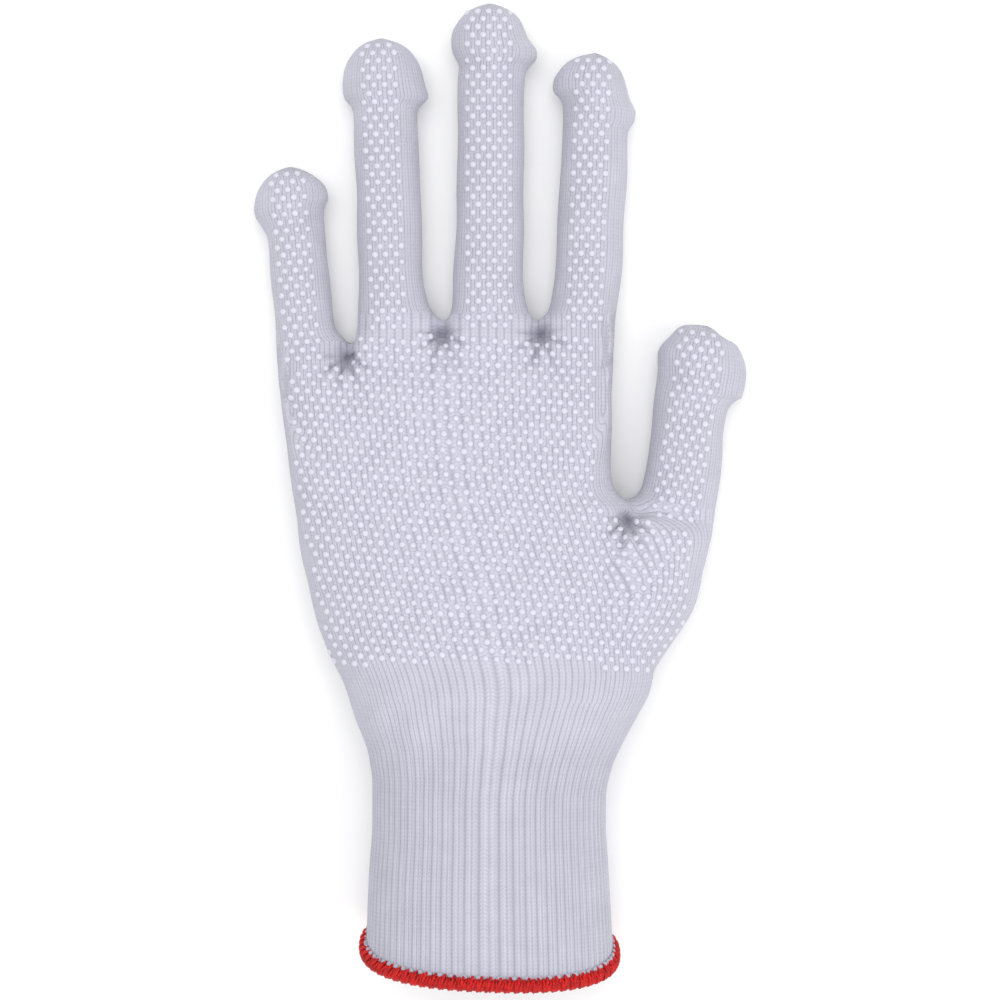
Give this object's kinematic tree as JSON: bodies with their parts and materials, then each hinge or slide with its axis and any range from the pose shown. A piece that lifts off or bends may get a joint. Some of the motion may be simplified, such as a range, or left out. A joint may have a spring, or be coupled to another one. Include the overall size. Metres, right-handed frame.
{
  "type": "cut resistant work glove",
  "caption": "Right-hand seamless knitted cut resistant glove with a raised dotted grip palm, a ribbed cuff and an overlocked red hem; its fingers, thumb and wrist bend.",
  "frame": {"origin": "middle of the glove's length and width, on the surface that its back lies on", "axes": "+Y from wrist to fingertips, +X towards the thumb, +Z out of the dotted palm side"},
  "size_m": [0.1217, 0.2437, 0.0342],
  "materials": {
    "hand_knit": "fine seamless knit of pale lilac-grey cut resistant yarn",
    "rib_knit": "fine 1x1 rib knit of the same yarn, laid in with elastic",
    "pvc_dots": "soft printed PVC dots, satin, almost white",
    "overlock_thread": "red overlock thread, twisted and slightly shiny",
    "elastic_yarn": "covered elastic yarn, off-white"
  },
  "bodies": {
    "hand": {"palm_knit": "hand_knit", "palm_dots": "pvc_dots", "wrist_fold": "hand_knit", "little_root_fold": "hand_knit", "ring_root_fold": "hand_knit", "middle_root_fold": "hand_knit", "index_root_fold": "hand_knit", "thumb_root_fold": "hand_knit"},
    "cuff": {"cuff_knit": "rib_knit", "cuff_elastic_1": "elastic_yarn", "cuff_elastic_2": "elastic_yarn", "cuff_elastic_3": "elastic_yarn", "cuff_elastic_4": "elastic_yarn", "cuff_elastic_5": "elastic_yarn", "cuff_hem": "overlock_thread"},
    "little_proximal": {"little_proximal": "hand_knit", "little_proximal_dots": "pvc_dots", "little_middle_fold": "hand_knit"},
    "little_middle": {"little_middle": "hand_knit", "little_middle_dots": "pvc_dots", "little_tip_fold": "hand_knit"},
    "little_tip": {"little_tip": "hand_knit", "little_tip_dots": "pvc_dots"},
    "ring_proximal": {"ring_proximal": "hand_knit", "ring_proximal_dots": "pvc_dots", "ring_middle_fold": "hand_knit"},
    "ring_middle": {"ring_middle": "hand_knit", "ring_middle_dots": "pvc_dots", "ring_tip_fold": "hand_knit"},
    "ring_tip": {"ring_tip": "hand_knit", "ring_tip_dots": "pvc_dots"},
    "middle_proximal": {"middle_proximal": "hand_knit", "middle_proximal_dots": "pvc_dots", "middle_middle_fold": "hand_knit"},
    "middle_middle": {"middle_middle": "hand_knit", "middle_middle_dots": "pvc_dots", "middle_tip_fold": "hand_knit"},
    "middle_tip": {"middle_tip": "hand_knit", "middle_tip_dots": "pvc_dots"},
    "index_proximal": {"index_proximal": "hand_knit", "index_proximal_dots": "pvc_dots", "index_middle_fold": "hand_knit"},
    "index_middle": {"index_middle": "hand_knit", "index_middle_dots": "pvc_dots", "index_tip_fold": "hand_knit"},
    "index_tip": {"index_tip": "hand_knit", "index_tip_dots": "pvc_dots"},
    "thumb_proximal": {"thumb_proximal": "hand_knit", "thumb_proximal_dots": "pvc_dots", "thumb_tip_fold": "hand_knit"},
    "thumb_tip": {"thumb_tip": "hand_knit", "thumb_tip_dots": "pvc_dots"}
  },
  "joints": [
    {"name": "wrist_bend", "type": "hinge", "parent": "hand", "child": "cuff", "pos_m": [-0.0022, -0.0702, 0.0147], "axis": [-1, 0, 0], "range_deg": [-40, 60], "deforming": ["wrist_fold"]},
    {"name": "little_root_bend", "type": "hinge", "parent": "hand", "child": "little_proximal", "pos_m": [-0.04919, 0.04247, 0.0055], "axis": [0.9959, 0.0905, 0], "range_deg": [0, 70], "deforming": ["little_root_fold"]},
    {"name": "little_middle_bend", "type": "hinge", "parent": "little_proximal", "child": "little_middle", "pos_m": [-0.0505, 0.05691, 0.0055], "axis": [0.9959, 0.0905, 0], "range_deg": [0, 85], "deforming": ["little_middle_fold"]},
    {"name": "little_tip_bend", "type": "hinge", "parent": "little_middle", "child": "little_tip", "pos_m": [-0.05168, 0.06986, 0.0055], "axis": [0.9959, 0.0905, 0], "range_deg": [0, 38.25], "deforming": ["little_tip_fold"]},
    {"name": "ring_root_bend", "type": "hinge", "parent": "hand", "child": "ring_proximal", "pos_m": [-0.02741, 0.05129, 0.0061], "axis": [0.9993, 0.0369, 0], "range_deg": [0, 70], "deforming": ["ring_root_fold"]},
    {"name": "ring_middle_bend", "type": "hinge", "parent": "ring_proximal", "child": "ring_middle", "pos_m": [-0.02826, 0.07418, 0.0061], "axis": [0.9993, 0.0369, 0], "range_deg": [0, 85], "deforming": ["ring_middle_fold"]},
    {"name": "ring_tip_bend", "type": "hinge", "parent": "ring_middle", "child": "ring_tip", "pos_m": [-0.02901, 0.09456, 0.0061], "axis": [0.9993, 0.0369, 0], "range_deg": [0, 38.25], "deforming": ["ring_tip_fold"]},
    {"name": "middle_root_bend", "type": "hinge", "parent": "hand", "child": "middle_proximal", "pos_m": [-0.00251, 0.0513, 0.0063], "axis": [1, 0.0013, 0], "range_deg": [0, 70], "deforming": ["middle_root_fold"]},
    {"name": "middle_middle_bend", "type": "hinge", "parent": "middle_proximal", "child": "middle_middle", "pos_m": [-0.00254, 0.078, 0.0063], "axis": [1, 0.0013, 0], "range_deg": [0, 85], "deforming": ["middle_middle_fold"]},
    {"name": "middle_tip_bend", "type": "hinge", "parent": "middle_middle", "child": "middle_tip", "pos_m": [-0.00257, 0.101, 0.0063], "axis": [1, 0.0013, 0], "range_deg": [0, 38.25], "deforming": ["middle_tip_fold"]},
    {"name": "index_root_bend", "type": "hinge", "parent": "hand", "child": "index_proximal", "pos_m": [0.02191, 0.05129, 0.0062], "axis": [0.9994, -0.0359, 0], "range_deg": [0, 70], "deforming": ["index_root_fold"]},
    {"name": "index_middle_bend", "type": "hinge", "parent": "index_proximal", "child": "index_middle", "pos_m": [0.02267, 0.07258, 0.0062], "axis": [0.9994, -0.0359, 0], "range_deg": [0, 85], "deforming": ["index_middle_fold"]},
    {"name": "index_tip_bend", "type": "hinge", "parent": "index_middle", "child": "index_tip", "pos_m": [0.02336, 0.09187, 0.0062], "axis": [0.9994, -0.0359, 0], "range_deg": [0, 38.25], "deforming": ["index_tip_fold"]},
    {"name": "thumb_root_bend", "type": "hinge", "parent": "hand", "child": "thumb_proximal", "pos_m": [0.04564, 0.00419, 0.0068], "axis": [0.9884, -0.1516, 0], "range_deg": [0, 55], "deforming": ["thumb_root_fold"]},
    {"name": "thumb_tip_bend", "type": "hinge", "parent": "thumb_proximal", "child": "thumb_tip", "pos_m": [0.04844, 0.02248, 0.0068], "axis": [0.9884, -0.1516, 0], "range_deg": [0, 75], "deforming": ["thumb_tip_fold"]}
  ],
  "couplings": [
    {"joint": "little_tip_bend", "follows": "little_middle_bend", "ratio": 0.45},
    {"joint": "ring_tip_bend", "follows": "ring_middle_bend", "ratio": 0.45},
    {"joint": "middle_tip_bend", "follows": "middle_middle_bend", "ratio": 0.45},
    {"joint": "index_tip_bend", "follows": "index_middle_bend", "ratio": 0.45}
  ]
}
